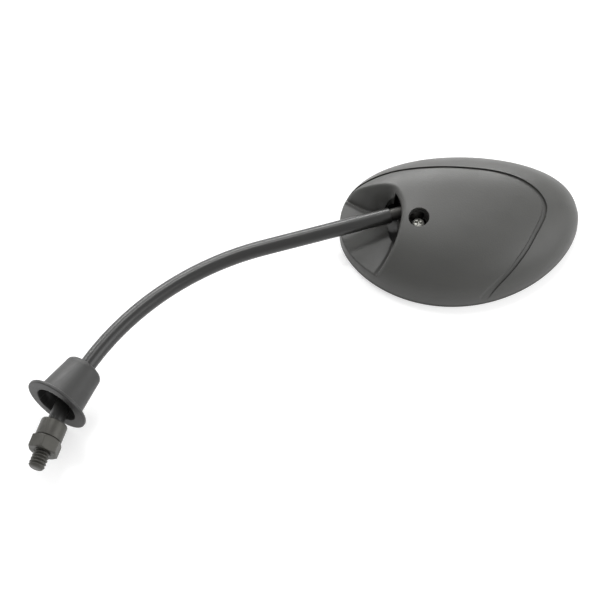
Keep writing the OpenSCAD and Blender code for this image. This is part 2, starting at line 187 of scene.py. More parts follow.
world = bpy.data.worlds.new("room")
bpy.context.scene.world = world
tree = empty_tree(world)
where = add(tree, "ShaderNodeTexCoord").outputs["Generated"]
towards_light = add(tree, "ShaderNodeVectorMath", {0: where, 1: tuple(LIGHT_SIDE)},
                    operation="DOT_PRODUCT").outputs["Value"]
glow = add(tree, "ShaderNodeMapRange",
           {0: towards_light, 1: -1.0, 2: 1.0, 3: ROOM_DARK, 4: ROOM_LIGHT}).outputs[0]
rays = add(tree, "ShaderNodeLightPath").outputs
clear_view = add(tree, "ShaderNodeMath", {0: rays["Is Camera Ray"], 1: rays["Is Transmission Ray"]},
                 operation="MAXIMUM")
seen = add(tree, "ShaderNodeMath",
           {0: rays["Is Glossy Ray"], 1: WHITE_IN_REFLECTIONS, 2: clear_view.outputs[0]},
           operation="MULTIPLY_ADD", use_clamp=True).outputs[0]
room = add(tree, "ShaderNodeBackground", {"Color": linear("#ffffff"), "Strength": glow}).outputs[0]
white = add(tree, "ShaderNodeBackground", {"Color": linear("#ffffff"), "Strength": 1.0}).outputs[0]
both = add(tree, "ShaderNodeMixShader", {0: seen, 1: room, 2: white}).outputs[0]
add(tree, "ShaderNodeOutputWorld", {"Surface": both})
bpy.context.scene.view_settings.view_transform = "Standard"

# %% [markdown]
# The white table is a plane just under the bezel. It takes the mirror's shadow and throws the lamps' light
# back up. Its own faint glow only shows to the eye and in reflections, where it makes the paper white.
# It is clear from behind, so the glass can be looked at from the front.
# Every surface in this script is made by the same function, from an array of points and its faces.

# %% Table
TABLE_Y, TABLE_HALF, PAPER_GLOW = -20.56, 3, 0.42


def make_mesh(name, points, faces):
    """A mesh object from points in metres and an array of four-cornered faces. Repeated points are merged."""
    mesh = bpy.data.meshes.new(name)
    points = np.ascontiguousarray(points.reshape(-1, 3), dtype=np.float32)
    mesh.vertices.add(len(points))
    mesh.vertices.foreach_set("co", points.ravel())
    mesh.loops.add(faces.size)
    mesh.loops.foreach_set("vertex_index", np.ascontiguousarray(faces, dtype=np.int32).ravel())
    mesh.polygons.add(len(faces))
    mesh.polygons.foreach_set("loop_start", np.arange(0, faces.size, 4, dtype=np.int32))
    mesh.update(calc_edges=True)
    work = bmesh.new()
    work.from_mesh(mesh)
    bmesh.ops.remove_doubles(work, verts=work.verts, dist=1e-7)
    bmesh.ops.dissolve_degenerate(work, edges=work.edges, dist=1e-8)
    bmesh.ops.recalc_face_normals(work, faces=work.faces)
    work.to_mesh(mesh)
    work.free()
    obj = bpy.data.objects.new(name, mesh)
    bpy.context.scene.collection.objects.link(obj)
    return obj


def make_grid(name, points):
    """A mesh object from rows of points in metres. Each row is a closed ring."""
    rows, columns = points.shape[:2]
    r, c = np.meshgrid(np.arange(rows - 1), np.arange(columns), indexing="ij")
    here, above, n = r * columns, (r + 1) * columns, (c + 1) % columns
    return make_mesh(name, points, np.stack([here + c, here + n, above + n, above + c], -1).reshape(-1, 4))


corners = np.array([[x * TABLE_HALF, TABLE_Y * MM, z * TABLE_HALF]
                    for x, z in ((-1, -1), (1, -1), (1, 1), (-1, 1))])
table = make_mesh("table", corners, np.array([[0, 3, 2, 1]]))
if table.data.polygons[0].normal.y < 0:
    table.data.flip_normals()
paper = bpy.data.materials.new("white_table")
tree = empty_tree(paper)
lit = add(tree, "ShaderNodeBsdfDiffuse", {"Color": linear("#dcdcdc")}).outputs[0]
rays = add(tree, "ShaderNodeLightPath").outputs
strength = add(tree, "ShaderNodeMath", {0: 1.0, 1: rays["Is Diffuse Ray"]}, operation="SUBTRACT").outputs[0]
strength = add(tree, "ShaderNodeMath", {0: strength, 1: PAPER_GLOW}, operation="MULTIPLY").outputs[0]
glow = add(tree, "ShaderNodeEmission", {"Color": linear("#ffffff"), "Strength": strength}).outputs[0]
front = add(tree, "ShaderNodeAddShader", {0: lit, 1: glow}).outputs[0]
clear = add(tree, "ShaderNodeBsdfTransparent").outputs[0]
behind = add(tree, "ShaderNodeNewGeometry").outputs["Backfacing"]
both = add(tree, "ShaderNodeMixShader", {0: behind, 1: front, 2: clear}).outputs[0]
add(tree, "ShaderNodeOutputMaterial", {"Surface": both})
table.data.materials.append(paper)
table.visible_shadow = False

# %% [markdown]
# Moulded plastic, paint, rubber and plated steel differ in three things: how dark they are, how sharp their
# reflections are and what fine grain lies on them. One function makes a finish from those three.
# The grain is noise, and its size is given in millimetres, so it stays true whatever the piece.

# %% Finishes
def finish(name, colour, rough, metal=0.0, grain=0.0, grain_mm=1.0, blotch=0.0, blotch_mm=12.0,
           rough_spread=0.0):
    """A finish: colour with soft blotches, roughness with a little spread, and bumps of a given size."""
    material = bpy.data.materials.new(name)
    tree = empty_tree(material)
    shader = add(tree, "ShaderNodeBsdfPrincipled",
                 {"Base Color": linear(colour), "Roughness": rough, "Metallic": metal})
    where = add(tree, "ShaderNodeTexCoord").outputs["Object"]
    if blotch or rough_spread:
        cloud = add(tree, "ShaderNodeTexNoise",
                    {"Vector": where, "Scale": 1000 / blotch_mm, "Detail": 4.0}).outputs[0]
    if blotch:
        low = tuple(c * (1 - blotch) for c in linear(colour)[:3]) + (1.0,)
        high = tuple(min(1.0, c * (1 + blotch)) for c in linear(colour)[:3]) + (1.0,)
        mixed = add(tree, "ShaderNodeMix", {0: cloud, 6: low, 7: high}, data_type="RGBA").outputs[2]
        tree.links.new(mixed, shader.inputs["Base Color"])
    if rough_spread:
        spread = add(tree, "ShaderNodeMapRange",
                     {0: cloud, 1: 0.3, 2: 0.7, 3: rough - rough_spread, 4: rough + rough_spread})
        tree.links.new(spread.outputs[0], shader.inputs["Roughness"])
    if grain:
        fine = add(tree, "ShaderNodeTexNoise",
                   {"Vector": where, "Scale": 1000 / grain_mm, "Detail": 3.0}).outputs[0]
        bump = add(tree, "ShaderNodeBump",
                   {"Height": fine, "Distance": grain * MM, "Strength": 1.0}).outputs[0]
        tree.links.new(bump, shader.inputs["Normal"])
    add(tree, "ShaderNodeOutputMaterial", {"Surface": shader.outputs[0]})
    return material


FINISHES = {
    # Black ABS from a mould with an etched surface: a grey-black body, wide weak highlights and a fine grain.
    "housing_plastic": finish("moulded_abs_etched", "#3f3f3d", 0.46, grain=0.06, grain_mm=0.9, blotch=0.08,
                              rough_spread=0.04),
    # The same ABS from a polished mould, so the bezel's edge is smoother and a little shinier.
    "bezel_plastic": finish("moulded_abs_smooth", "#3a3a38", 0.42, grain=0.02, grain_mm=0.8, blotch=0.06),
    # Powder coat baked on steel tube: a deep black, a soft highlight along the tube and slight orange peel.
    "stem_paint": finish("powder_coat_black", "#1d1d1c", 0.32, grain=0.006, grain_mm=0.7, blotch=0.05,
                         rough_spread=0.03),
    # EPDM rubber as it leaves the mould. It is dark inside, and its dry skin is pale where light grazes it.
    "boot_rubber": finish("moulded_epdm_rubber", "#272726", 0.5, grain=0.03, grain_mm=0.6, blotch=0.1,
                          rough_spread=0.05),
    # Turned steel under black zinc. The thin black layer is half clear, so some of the metal's sheen stays.
    "black_zinc_steel": finish("turned_steel_black_zinc", "#454440", 0.42, metal=0.5, grain=0.01,
                               grain_mm=0.5, blotch=0.25, blotch_mm=4, rough_spread=0.06),
    # Pressed and turned steel, dull, for the ball and the plates in the head. Its grey is darkened past
    # steel's own as painted shade, for the slot that they sit in.
    "bright_steel": finish("steel_darkened_for_shade", "#3a3937", 0.5, metal=0.8, grain=0.004, grain_mm=0.3,
                           blotch=0.15, blotch_mm=3, rough_spread=0.06),
    # Screws with bright zinc, silvery and mottled. Spangle of 0.3 mm wouldn't show and is drawn as 1.2 mm.
    "bright_zinc": finish("bright_zinc_plate", "#b2b2ac", 0.42, metal=0.6, grain=0.01, grain_mm=0.4,
                          blotch=0.3, blotch_mm=1.2, rough_spread=0.06),
    # Float glass silvered at the back. To the eye it is nearly all reflection, with a trace of green.
    "mirror_glass": finish("silvered_glass", "#dfe4e5", 0.02, metal=1.0),
    # Closed-cell polyethylene foam, cut from a sheet: dull, and pitted by its cells.
    "pad_foam": finish("polyethylene_foam", "#4a4d50", 0.9, grain=0.08, grain_mm=0.5, blotch=0.15,
                       blotch_mm=2),
    # Moulded nylon without dye, which is ivory and waxy.
    "seat_nylon": finish("moulded_nylon_natural", "#d8d4c4", 0.4, grain=0.01, grain_mm=0.4, blotch=0.04),
}
slot_of = {piece["node"]: piece["material_slot"] for piece in frame["record"]["subparts"]}
for name, obj in nodes.items():
    obj.data.materials.clear()
    obj.data.materials.append(FINISHES[slot_of[name]])
print("finishes:", ", ".join(FINISHES))


def dress(obj, body, slot, *stands_for, sharp=35):
    """Gives a new piece its finish, smooth shading with edges sharp past an angle, and its body."""
    obj.data.materials.clear()
    obj.data.materials.append(FINISHES[slot])
    obj.data.shade_smooth()
    obj.data.set_sharp_from_angle(angle=math.radians(sharp))
    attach(obj, body)
    if stands_for:
        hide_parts(*stands_for)
    print(obj.name, len(obj.data.polygons), "faces")


# %% [markdown]
# The head's outline is an egg: a stretched circle whose upper and lower halves are fuller or leaner than an
# ellipse and lean towards the stem. The dome rises from that outline to its crown.

# %% Outline and dome
# Half the head's length, and its half widths on the upper and the lower side.
HALF_L, UP, LOW = 76.4, 47.9, 54.7
# The head's thickness, the height where the dome begins, the wall, how far the housing stands inside the
# bezel's outline, and the height of its lower edge.
THICK, SKIRT, WALL, INSET, LIP = 34.0, 4.0, 2.0, 0.2, 1.0
# How lean each half of the outline is, and how much it is wider on the stem's side.
FULL_UP, FULL_LOW, LEAN_UP, LEAN_LOW = 0.773, 1.197, 0.134, 0.041
DOME_FULL, CROWN = 2.65, (-4.0, 6.0)
# Where the stem's side begins, and between which places the groove runs out at the lower rim.
STEM_SIDE_X, GROOVE_END_X = -25, (-2, 38)


def outline(a, d):
    """Outline at angle a, inset by d: x is the half length times cos a, and y is the half width times sin a
    to a power, made longer on the stem's side."""
    s, c = np.sin(a), np.cos(a)
    up = s >= 0
    width = (np.where(up, UP, LOW) - d) * np.abs(s) ** np.where(up, FULL_UP, FULL_LOW)
    return (HALF_L - d) * c, np.sign(s) * width * (1 - np.where(up, LEAN_UP, LEAN_LOW) * c)


def even_angles(count, stem_side=1.0, groove_end=1.0):
    """Angles that step evenly along the outline, closer together by a factor on the stem's side and another
    where the groove ends at the rim."""
    a = np.linspace(0, 2 * np.pi, 7201)
    x, y = outline(a, 0)
    at_end = (x[1:] > GROOVE_END_X[0]) & (x[1:] < GROOVE_END_X[1]) & (y[1:] < 0)
    factor = np.where(x[1:] < STEM_SIDE_X, stem_side, np.where(at_end, groove_end, 1.0))
    along = np.concatenate([[0], np.cumsum(np.hypot(np.diff(x), np.diff(y)) * factor)])
    return np.interp(np.arange(count) / count * along[-1], along, a)


def from_crown(x, y, k):
    """Points at the share k of the way from the crown to points of an outline."""
    return CROWN[0] + (x - CROWN[0]) * k, CROWN[1] + (y - CROWN[1]) * k


def dome_height(k, d):
    """Height at the share k of the way from crown to rim: skirt, plus the rise times the root of 1 - k to a
    power."""
    return SKIRT + (THICK - SKIRT - d) * np.sqrt(np.clip(1 - k ** DOME_FULL, 0, 1))


# %% [markdown]
# The scoop that the stem lies in is ruled between two outlines, its mouth on the dome and its floor.
# For every point of the dome we need its distance to both, so a function measures the distance to a broken
# line. Three more shape what happens near a line: a bell, an even rise, and a softened choice of the smaller.

# %% Distances to the scoop's outlines
SPAN = 8


def spline(points):
    """Smooth line through points: each span is a cubic whose slopes come from the points next to it."""
    p = np.array(points, float)
    p = np.vstack([2 * p[0] - p[1], p, 2 * p[-1] - p[-2]])
    t = (np.arange(SPAN) / SPAN)[None, :, None]
    a, b, c, d = (p[i:len(p) - 3 + i, None, :] for i in range(4))
    line = 0.5 * (2 * b + (c - a) * t + (2 * a - 5 * b + 4 * c - d) * t ** 2
                  + (3 * b - a - 3 * c + d) * t ** 3)
    return np.vstack([line.reshape(-1, 2), p[-2]])


def line_distance(x, y, line, closed=False):
    """Distance from points to a broken line, negative inside a closed one, by the nearest of its segments."""
    ends = np.vstack([line[1:], line[:1]]) if closed else line[1:]
    best = np.full(x.shape, 1e9)
    inside = np.zeros(x.shape, bool)
    for (x0, y0), (x1, y1) in zip(line, ends):
        dx, dy = x1 - x0, y1 - y0
        t = np.clip(((x - x0) * dx + (y - y0) * dy) / max(dx * dx + dy * dy, 1e-9), 0, 1)
        np.minimum(best, (x - x0 - t * dx) ** 2 + (y - y0 - t * dy) ** 2, out=best)
        if closed and y0 != y1:
            inside ^= ((y0 > y) != (y1 > y)) & (x < x0 + (y - y0) * dx / dy)
    best = np.sqrt(best)
    return np.where(inside, -best, best) if closed else best


def bell(distance, half):
    """A bell: e to the power of minus (distance over half width) squared."""
    return np.exp(-(distance / half) ** 2)


def ramp(value, length):
    """An even rise from 0 to 1, as the value goes from 0 to a length."""
    return np.clip(value / length, 0, 1)


def soft_min(a, b, soft):
    """The smaller of two values, rounded where they cross: half of a + b less the root of (a - b) squared
    plus a little."""
    return 0.5 * (a + b - np.sqrt((a - b) ** 2 + soft))


MOUTH = np.vstack([
    [-95, 36],
    spline([[-72, 30.5], [-62, 27.5], [-48, 24], [-41, 20.3], [-38.2, 15], [-37.4, 6], [-39.2, -4],
            [-44, -16], [-50, -25], [-58, -33.5]]),
    [-95, -62]])
FLOOR = np.vstack([
    [-95, 36], [-74, 27.5],
    spline([[-66, 23.0], [-60, 18.3], [-54, 14.8], [-47, 14], [-42.5, 12], [-39.2, 6], [-41, -4],
            [-46.4, -16], [-52.6, -25], [-60.6, -33.5]]),
    [-95, -62]])
GROOVE = spline([[-66.5, 28.6], [-60, 30.7], [-50, 32.4], [-42, 33], [-34.3, 32.9], [-18.7, 31.3],
                 [-2.6, 28.9], [20.1, 23.7], [34.9, 17.7], [43.9, 10.9], [49.2, 4.1], [51.3, -3.1],
                 [50, -9.5], [47, -15], [43.2, -20.6], [36, -30.5], [28, -39], [21, -44.8], [13, -50],
                 [5, -54.5]])
print("mouth", len(MOUTH), "points, floor", len(FLOOR), "points")

# %% [markdown]
# The housing's height is the dome's, pulled down to the floor inside the scoop. The edge of the mouth is
# rounded, worked out for the slope of the wall below it. The floor ends in a low ridge with a lower strip
# beyond it, and a thin crease runs along the foot of the right-hand wall: a mould gets such edges where two
# of its steel inserts meet. The styling groove is then pressed into the skin.

# %% Height of the housing
# The scoop lies to the left of SCOOP_SIDE_X. Its wall counts as at least LEAST_RISE high and LEAST_WALL wide,
# so that nothing is divided by 0 where the floor meets the dome. SHARE_SOFT rounds the foot of the wall.
SCOOP_SIDE_X, LEAST_RISE, LEAST_WALL, SHARE_SOFT = -20, 2.0, 0.5, 0.004
# The floor is level as far as LEVEL_X, and slopes down to the left of it.
FLOOR_Z, FLOOR_SLOPE, LEVEL_X, FLOOR_SOFT = 12.5, 0.1528, -45, 0.3
# The ridge runs through RIDGE_AT, square to RIDGE_ACROSS, and has faded out at RIDGE_END_X. Past the ridge
# the floor drops by STRIP_DROP.
RIDGE_AT, RIDGE_ACROSS, RIDGE_H, RIDGE_HALF = (-70.0, 25.0), (0.678, 0.735), 0.8, 0.9
RIDGE_END_X, RIDGE_FADE, STRIP_DROP, STRIP_FADE = -47, 3, 1.3, 1.2
# The crease lies just inside the floor's outline, and fades out at its top.
CREASE_DEPTH, CREASE_IN, CREASE_HALF, CREASE_TOP_Y, CREASE_FADE = 0.8, 0.5, 1.1, 2, 6
# The groove's half width is given for six directions from the crown, which are in radians.
GROOVE_DEPTH, GROOVE_STEP = 1.4, 0.3
GROOVE_TURN = [-1.4, -1.2, -0.6, -0.2, 0.1, 0.6]
GROOVE_HALF = [1.2, 1.0, 1.2, 1.4, 1.0, 0.7]


def scoop_floor(x, y, dome, grow, from_floor):
    """Height of the scoop's floor: level, then sloping down to the left. The ridge is added, the drop to the
    strip past it and the crease are taken away, and a softened smaller-of keeps the floor under the dome."""
    floor = FLOOR_Z - grow + FLOOR_SLOPE * np.minimum(0, x - LEVEL_X)
    past = (x - RIDGE_AT[0]) * RIDGE_ACROSS[0] + (y - RIDGE_AT[1]) * RIDGE_ACROSS[1]
    ridge = RIDGE_H * bell(past, RIDGE_HALF) - STRIP_DROP * ramp(past, STRIP_FADE)
    floor = floor + ridge * ramp(RIDGE_END_X - x, RIDGE_FADE)
    crease = CREASE_DEPTH * bell(from_floor + CREASE_IN, CREASE_HALF)
    floor = floor - crease * ramp(CREASE_TOP_Y - y, CREASE_FADE)
    return soft_min(floor, dome, FLOOR_SOFT)


def scooped(x, y, dome, grow, edge_r):
    """Height with the scoop: floor plus (dome - floor) times a share, 1 outside the mouth and 0 on the floor.
    Near the mouth the share follows a circle of the edge's radius, tangent to the dome and to the wall."""
    near = x < SCOOP_SIDE_X
    height = dome.copy()
    px, py, pd = x[near], y[near], dome[near]
    inwards = grow - line_distance(px, py, MOUTH, closed=True)
    from_floor = line_distance(px, py, FLOOR, closed=True) - grow
    floor = scoop_floor(px, py, pd, grow, from_floor)
    rise = np.maximum(pd - floor, LEAST_RISE)
    slope = rise / np.maximum(inwards + from_floor, LEAST_WALL)
    angle = np.arctan(slope)
    along = inwards + edge_r * np.tan(angle / 2)
    u = np.clip(along, 0, edge_r * np.sin(angle))
    drop = np.where(along < edge_r * np.sin(angle), edge_r - np.sqrt(edge_r ** 2 - u ** 2), slope * inwards)
    share = 1 - drop / rise
    share = 0.5 * (share + np.sqrt(share ** 2 + SHARE_SOFT))
    height[near] = floor + (pd - floor) * share
    return height


def groove_depth(x, y, distance):
    """Depth of the groove, from the distance to its line: full near it, then gone by a smooth step. It is
    narrow along the top, and widens to a flat strip with two steep sides down the right."""
    half = np.interp(np.arctan2(y - CROWN[1], x - CROWN[0]), GROOVE_TURN, GROOVE_HALF)
    t = ramp(distance - half, GROOVE_STEP)
    return GROOVE_DEPTH * (1 - t * t * (3 - 2 * t))


# %% [markdown]
# The grid of the housing runs from the crown to the rim in every direction. Its rings are spread by length
# along the surface, so the steep wall of the scoop gets as many as it needs, and they crowd together in the
# scoop and at the groove. Each direction's spread is the mean of its neighbours' too, so that the grid's
# cells stay unskewed.

# %% Housing skin
# Each direction's spread is averaged with MEAN_OVER others on either side. The scoop's extra rings begin at
# SCOOP_X, and those at the groove fade out near the lower rim.
MEAN_OVER = 8
SCOOP_X, SCOOP_FADE = -37, 6
NEAR_GROOVE, GROOVE_CROWD, GROOVE_LOW_Y, GROOVE_FADE = 1.9, 3.5, -46, 14
MID_SKIRT = 2.5


def skin(angles, inset, samples, rings, grow, edge_r, groove):
    """Points of one skin of the housing, ring by ring from crown to rim, spread evenly by weighted length.
    The share of that length is taken as the mean over neighbouring directions, eight to either side."""
    k = np.cos(np.linspace(np.pi / 2, 0, samples)) ** (2 / DOME_FULL)
    k[0] = 0
    rim_x, rim_y = outline(angles, inset)
    x, y = from_crown(rim_x[:, None], rim_y[:, None], k)
    z = scooped(x, y, np.broadcast_to(dome_height(k, inset), x.shape), grow, edge_r)
    weight = np.ones_like(x)
    if groove:
        distance = line_distance(x, y, GROOVE)
        weight += ramp(SCOOP_X - x, SCOOP_FADE)
        weight += GROOVE_CROWD * bell(distance, NEAR_GROOVE) * ramp(y - GROOVE_LOW_Y, GROOVE_FADE)
        z = z - groove_depth(x, y, distance)
    step = np.sqrt(np.diff(x) ** 2 + np.diff(y) ** 2 + np.diff(z) ** 2) * (weight[:, 1:] + weight[:, :-1]) / 2
    along = np.concatenate([np.zeros((len(angles), 1)), np.cumsum(step, 1)], 1)
    reached = along / along[:, -1:]
    reached = sum(np.roll(reached, n, 0) for n in range(-MEAN_OVER, MEAN_OVER + 1)) / (2 * MEAN_OVER + 1)
    share = np.linspace(0, 1, rings)
    picked = [[np.interp(share, a, v) for a, v in zip(reached, value)] for value in (x, y, z)]
    return np.stack(picked, -1).transpose(1, 0, 2)


def level_ring(angles, inset, height):
    """One ring of points at a height, on the outline drawn in by an inset."""
    x, y = outline(angles, inset)
    return np.stack([x, y, np.full_like(x, height)], -1)[None]


angles = even_angles(444, stem_side=2.2, groove_end=2.2)
head_points = np.concatenate([
    skin(angles, INSET, samples=1100, rings=175, grow=0.0, edge_r=2.4, groove=True),
    level_ring(angles, INSET, MID_SKIRT),
    level_ring(angles, INSET, LIP),
    level_ring(angles, INSET + WALL, LIP),
    level_ring(angles, INSET + WALL, MID_SKIRT),
    skin(angles, INSET + WALL, samples=500, rings=30, grow=WALL, edge_r=0.4, groove=False)[::-1]])
housing = make_grid("housing", on_head(*np.moveaxis(head_points, -1, 0)))
print("housing skin", len(housing.data.polygons), "faces")

# %% [markdown]
# The slot, the room round the ball and the screwdriver hole are cut as a machinist would, with solid cutters.
# The hole has a short collar inside with a narrow lip at its end, so a tube is joined on before its bore is
# cut.

# %% Cutters
# The slot's place, turn and half width, the centre and radius of its two ends, and the clamp screw's axis.
SLOT_AT, SLOT_TURN, SLOT_HALF = (-42.6, 0), math.radians(-5), 3.25
FAR_END, NEAR_END = (-1.5, 12.3, 3.8), (1.6, -14.1, 1.4)
SCREW_X, SCREW_Y = BALL_X + 0.7, BALL_Y - 12.8


def around(count):
    """Angles of a whole turn, in equal steps."""
    return np.arange(count) / count * 2 * np.pi


def arc(x, y, r, a):
    """Points of a circle at the angles a."""
    return np.stack([x + r * np.cos(a), y + r * np.sin(a)], -1)


def circle(x, y, r):
    """Points of a whole circle."""
    return arc(x, y, r, around(96))


def slot_outline():
    """A slot 6.5 by 31.6 mm, turned by 5 degrees. Its far end is round and a little wider, and the near end
    tapers to one side."""
    points = np.concatenate([arc(*FAR_END, np.linspace(-0.3, np.pi + 0.3, 25)), [[-SLOT_HALF, -7.0]],
                             arc(*NEAR_END, np.linspace(np.pi, 2 * np.pi, 9)), [[SLOT_HALF, -11.0]]])
    c, s = math.cos(SLOT_TURN), math.sin(SLOT_TURN)
    return points @ np.array([[c, s], [-s, c]]) + SLOT_AT


def prism(name, xy, z0, z1):
    """A closed prism on the head: one outline at two heights, each drawn in to its middle."""
    middle = np.broadcast_to(xy.mean(0), xy.shape)
    rings = [(middle, z0), (xy, z0), (xy, z1), (middle, z1)]
    return make_grid(name, np.stack([on_head(p[:, 0], p[:, 1], np.full(len(p), z)) for p, z in rings]))


def combine(body, tool, how):
    """Joins a tool to a body or cuts it away, and removes the tool."""
    step = body.modifiers.new(how, "BOOLEAN")
    step.operation, step.object, step.solver = how, tool, "MANIFOLD"
    mesh = bpy.data.meshes.new_from_object(body.evaluated_get(bpy.context.evaluated_depsgraph_get()))
    body.modifiers.clear()
    body.data = mesh
    bpy.data.objects.remove(tool)


# Each cutter's name, its outline, its lower and upper height, and what it does.
CUTS = [
    ("slot_tool", slot_outline(), -3, 27, "DIFFERENCE"),
    ("room_tool", circle(BALL_X, BALL_Y, 13.9), 13.6, 27.5, "DIFFERENCE"),
    ("collar_tool", circle(SCREW_X, SCREW_Y, 7.5), 22.2, 30.2, "UNION"),
    ("hole_tool", circle(SCREW_X, SCREW_Y, 6.5), 22.8, 40, "DIFFERENCE"),
    ("lip_tool", circle(SCREW_X, SCREW_Y, 5.8), 20.5, 23, "DIFFERENCE"),
    ("cup_tool", circle(BALL_X, BALL_Y, 9.4), 13.6, 27.6, "DIFFERENCE"),
]
bpy.context.view_layer.update()
for name, shape, low, high, how in CUTS:
    combine(housing, prism(name, shape, low, high), how)
dress(housing, "head", "housing_plastic", "housing_shell", sharp=42)

# %% [markdown]
# A turned piece is a profile spun about an axis. The stem is the same thing with its axis bent:
# every profile point has a place along the stem and a distance from its line.

# %% Profiles and turned pieces
def rounded(points, radii, steps=6):
    """Closed profile with rounded corners: each is a curve that starts and ends its radius away from it."""
    p = np.array(points, float)
    r = np.broadcast_to(np.asarray(radii, float), (len(p),))[:, None]
    before, after = np.roll(p, 1, 0) - p, np.roll(p, -1, 0) - p
    before /= np.linalg.norm(before, axis=1, keepdims=True)
    after /= np.linalg.norm(after, axis=1, keepdims=True)
    t = np.linspace(0, 1, steps)[None, :, None]
    a, b, c = (p + before * r)[:, None], p[:, None], (p + after * r)[:, None]
    return ((1 - t) ** 2 * a + 2 * t * (1 - t) * b + t ** 2 * c).reshape(-1, 2)


def closer(profile, longest):
    """The same profile with points added where two are further apart than the longest step."""
    out = [profile[:1]]
    for a, b in zip(profile[:-1], profile[1:]):
        count = max(1, int(math.ceil(np.linalg.norm(b - a) / longest)))
        out.append(a + (b - a) * (np.arange(1, count + 1) / count)[:, None])
    return np.concatenate(out)


def spin(name, r, z, sides, origin, x_axis, y_axis, z_axis):
    """Turned surface: origin + z along the axis + r (cos a, sin a) across it. r and z are arrays of profile
    by angle."""
    a = around(sides)
    r, z = np.broadcast_to(r, (len(r), sides)), np.broadcast_to(z, (len(z), sides))
    across = np.cos(a)[:, None] * x_axis + np.sin(a)[:, None] * y_axis
    points = np.asarray(origin, float) + r[..., None] * across + z[..., None] * z_axis
    return make_grid(name, points * MM)


X, Y, Z = np.eye(3)

# %% [markdown]
# The stem is a plain steel tube with one long bend, painted black. Its end near the ball is open, with a worn
# edge.

# %% Stem
# The tube is drawn hollow over its last END_L.
STEM_SIDES, END_L = 64, 9


def stem_line(s):
    """Centre and side direction at length s: a short straight, an arc of the bend, and a long straight."""
    first, arc_length = BEND_Z - SOCKET_Z, BEND_R * BEND
    phi = np.clip((s - first) / BEND_R, 0, BEND)
    late = np.maximum(s - first - arc_length, 0)
    x = -BEND_R * (1 - np.cos(phi)) - late * math.sin(BEND)
    z = SOCKET_Z + np.minimum(s, first) + BEND_R * np.sin(phi) + late * math.cos(BEND)
    centre = np.stack([x, np.zeros_like(x), z], -1)
    side = np.stack([np.cos(phi), np.zeros_like(x), np.sin(phi)], -1)
    return centre, side


stem_length = BEND_Z - SOCKET_Z + BEND_R * BEND + REACH - TUBE_GAP
end = rounded([[stem_length - END_L, TUBE_R], [stem_length, TUBE_R], [stem_length, TUBE_R - TUBE_WALL],
               [stem_length - END_L, TUBE_R - TUBE_WALL]], [0.01, 0.35, 0.3, 0.01])
line = np.linspace(0.2, stem_length - END_L - 0.2, 170)
profile = np.vstack([[[0, 0.0], [0, TUBE_R - 0.2]], np.stack([line, np.full_like(line, TUBE_R)], -1), end,
                     [[stem_length - END_L, 0.0]]])
centre, side = stem_line(profile[:, 0])
turn = around(STEM_SIDES)
tube = (centre[:, None] + profile[:, 1][:, None, None]
        * (np.cos(turn)[None, :, None] * side[:, None] + np.sin(turn)[None, :, None] * Y)) * MM
dress(make_grid("stem", tube), "stem", "stem_paint", "stem_tube")

# %% [markdown]
# The end fitting is turned from one bar: a collar that takes the tube, and an M10 thread with a pitch of
# 1.25 mm. The thread is a helix, so its radius depends on the height and on the turn together.
# A pitch of 1.25 mm is two pixels, too fine to show, so the thread is drawn with 2.1 mm from crest to crest.

# %% Collar and thread
# BARE is how far the thread reaches below the origin, and TIP_DROP how much smaller in radius its tip is.
THREAD_R, THREAD_DEPTH, DRAWN_PITCH, BARE = 5.0, 0.9, 2.1, 10.0
FLAT_CREST, TIP_DROP, COLLAR_Z, TUBE_SEAT_Z, FITTING_SIDES = 0.3, 1.1, 9.3, 16.0, 96


def thread_radius(z, turn):
    """Thread radius: the crest, less the depth times a triangle wave of height over pitch minus share of a
    turn, flattened at the crest, with the tip's chamfer as a limit."""
    phase = (z / DRAWN_PITCH - turn / (2 * np.pi)) % 1
    wave = np.clip(np.abs(phase - 0.5) * 2 * (1 + FLAT_CREST) - FLAT_CREST, 0, 1)
    return np.minimum(THREAD_R - THREAD_DEPTH * wave, THREAD_R - TIP_DROP + (z + BARE))


z = np.linspace(-BARE, COLLAR_Z, 300)
shaft = thread_radius(z[:, None], around(FITTING_SIDES)[None, :])
top = rounded([[4.6, COLLAR_Z], [8.25, COLLAR_Z], [8.25, 20.3], [5.15, 20.3], [5.15, TUBE_SEAT_Z]],
              [0.02, 0.6, 0.9, 0.3, 0.02])
on_axis = np.zeros((1, FITTING_SIDES))
r = np.vstack([on_axis, shaft, np.repeat(top[:, :1], FITTING_SIDES, 1), on_axis])
heights = np.concatenate([[-BARE], z, top[:, 1], [TUBE_SEAT_Z]])[:, None]
fitting = spin("end_fitting_turned", r, heights, FITTING_SIDES, [0, 0, 0], X, Y, Z)
dress(fitting, "stem", "black_zinc_steel", "end_fitting", sharp=50)

# %% [markdown]
# The lock nut is a hexagon whose corners a lathe has turned off at both faces.
# Its radius at each height is the smaller of the hexagon's and the cone's, with a softened edge between them.

# %% Lock nut
NUT_Z, NUT_H, FLATS, BORE_R, BORE_MOUTH_R, BORE_CHAMFER = 0.3, 8.7, 17.0, 4.65, 5.4, 0.7
# CORNER_OFF rounds the six corners, and at each face the cone starts FACE_IN inside the flats.
CORNER_OFF, FACE_IN, CONE_SLOPE, NUT_SIDES = 0.12, 0.15, 1.7, 192


def nut_radius(z, turn):
    """The smaller of flats / 2 / cos(turn from the nearest flat) and the chamfer's cone at either face."""
    flat = (turn + np.pi / 6) % (np.pi / 3) - np.pi / 6
    hexagon = FLATS / 2 / np.cos(flat) - CORNER_OFF * (np.abs(flat) / (np.pi / 6)) ** 14
    cone = FLATS / 2 - FACE_IN + CONE_SLOPE * np.minimum(z, NUT_H - z)
    return soft_min(hexagon, cone, 0.02)


def nut_ring(radius):
    """One ring of radii."""
    return np.full((1, NUT_SIDES), radius)


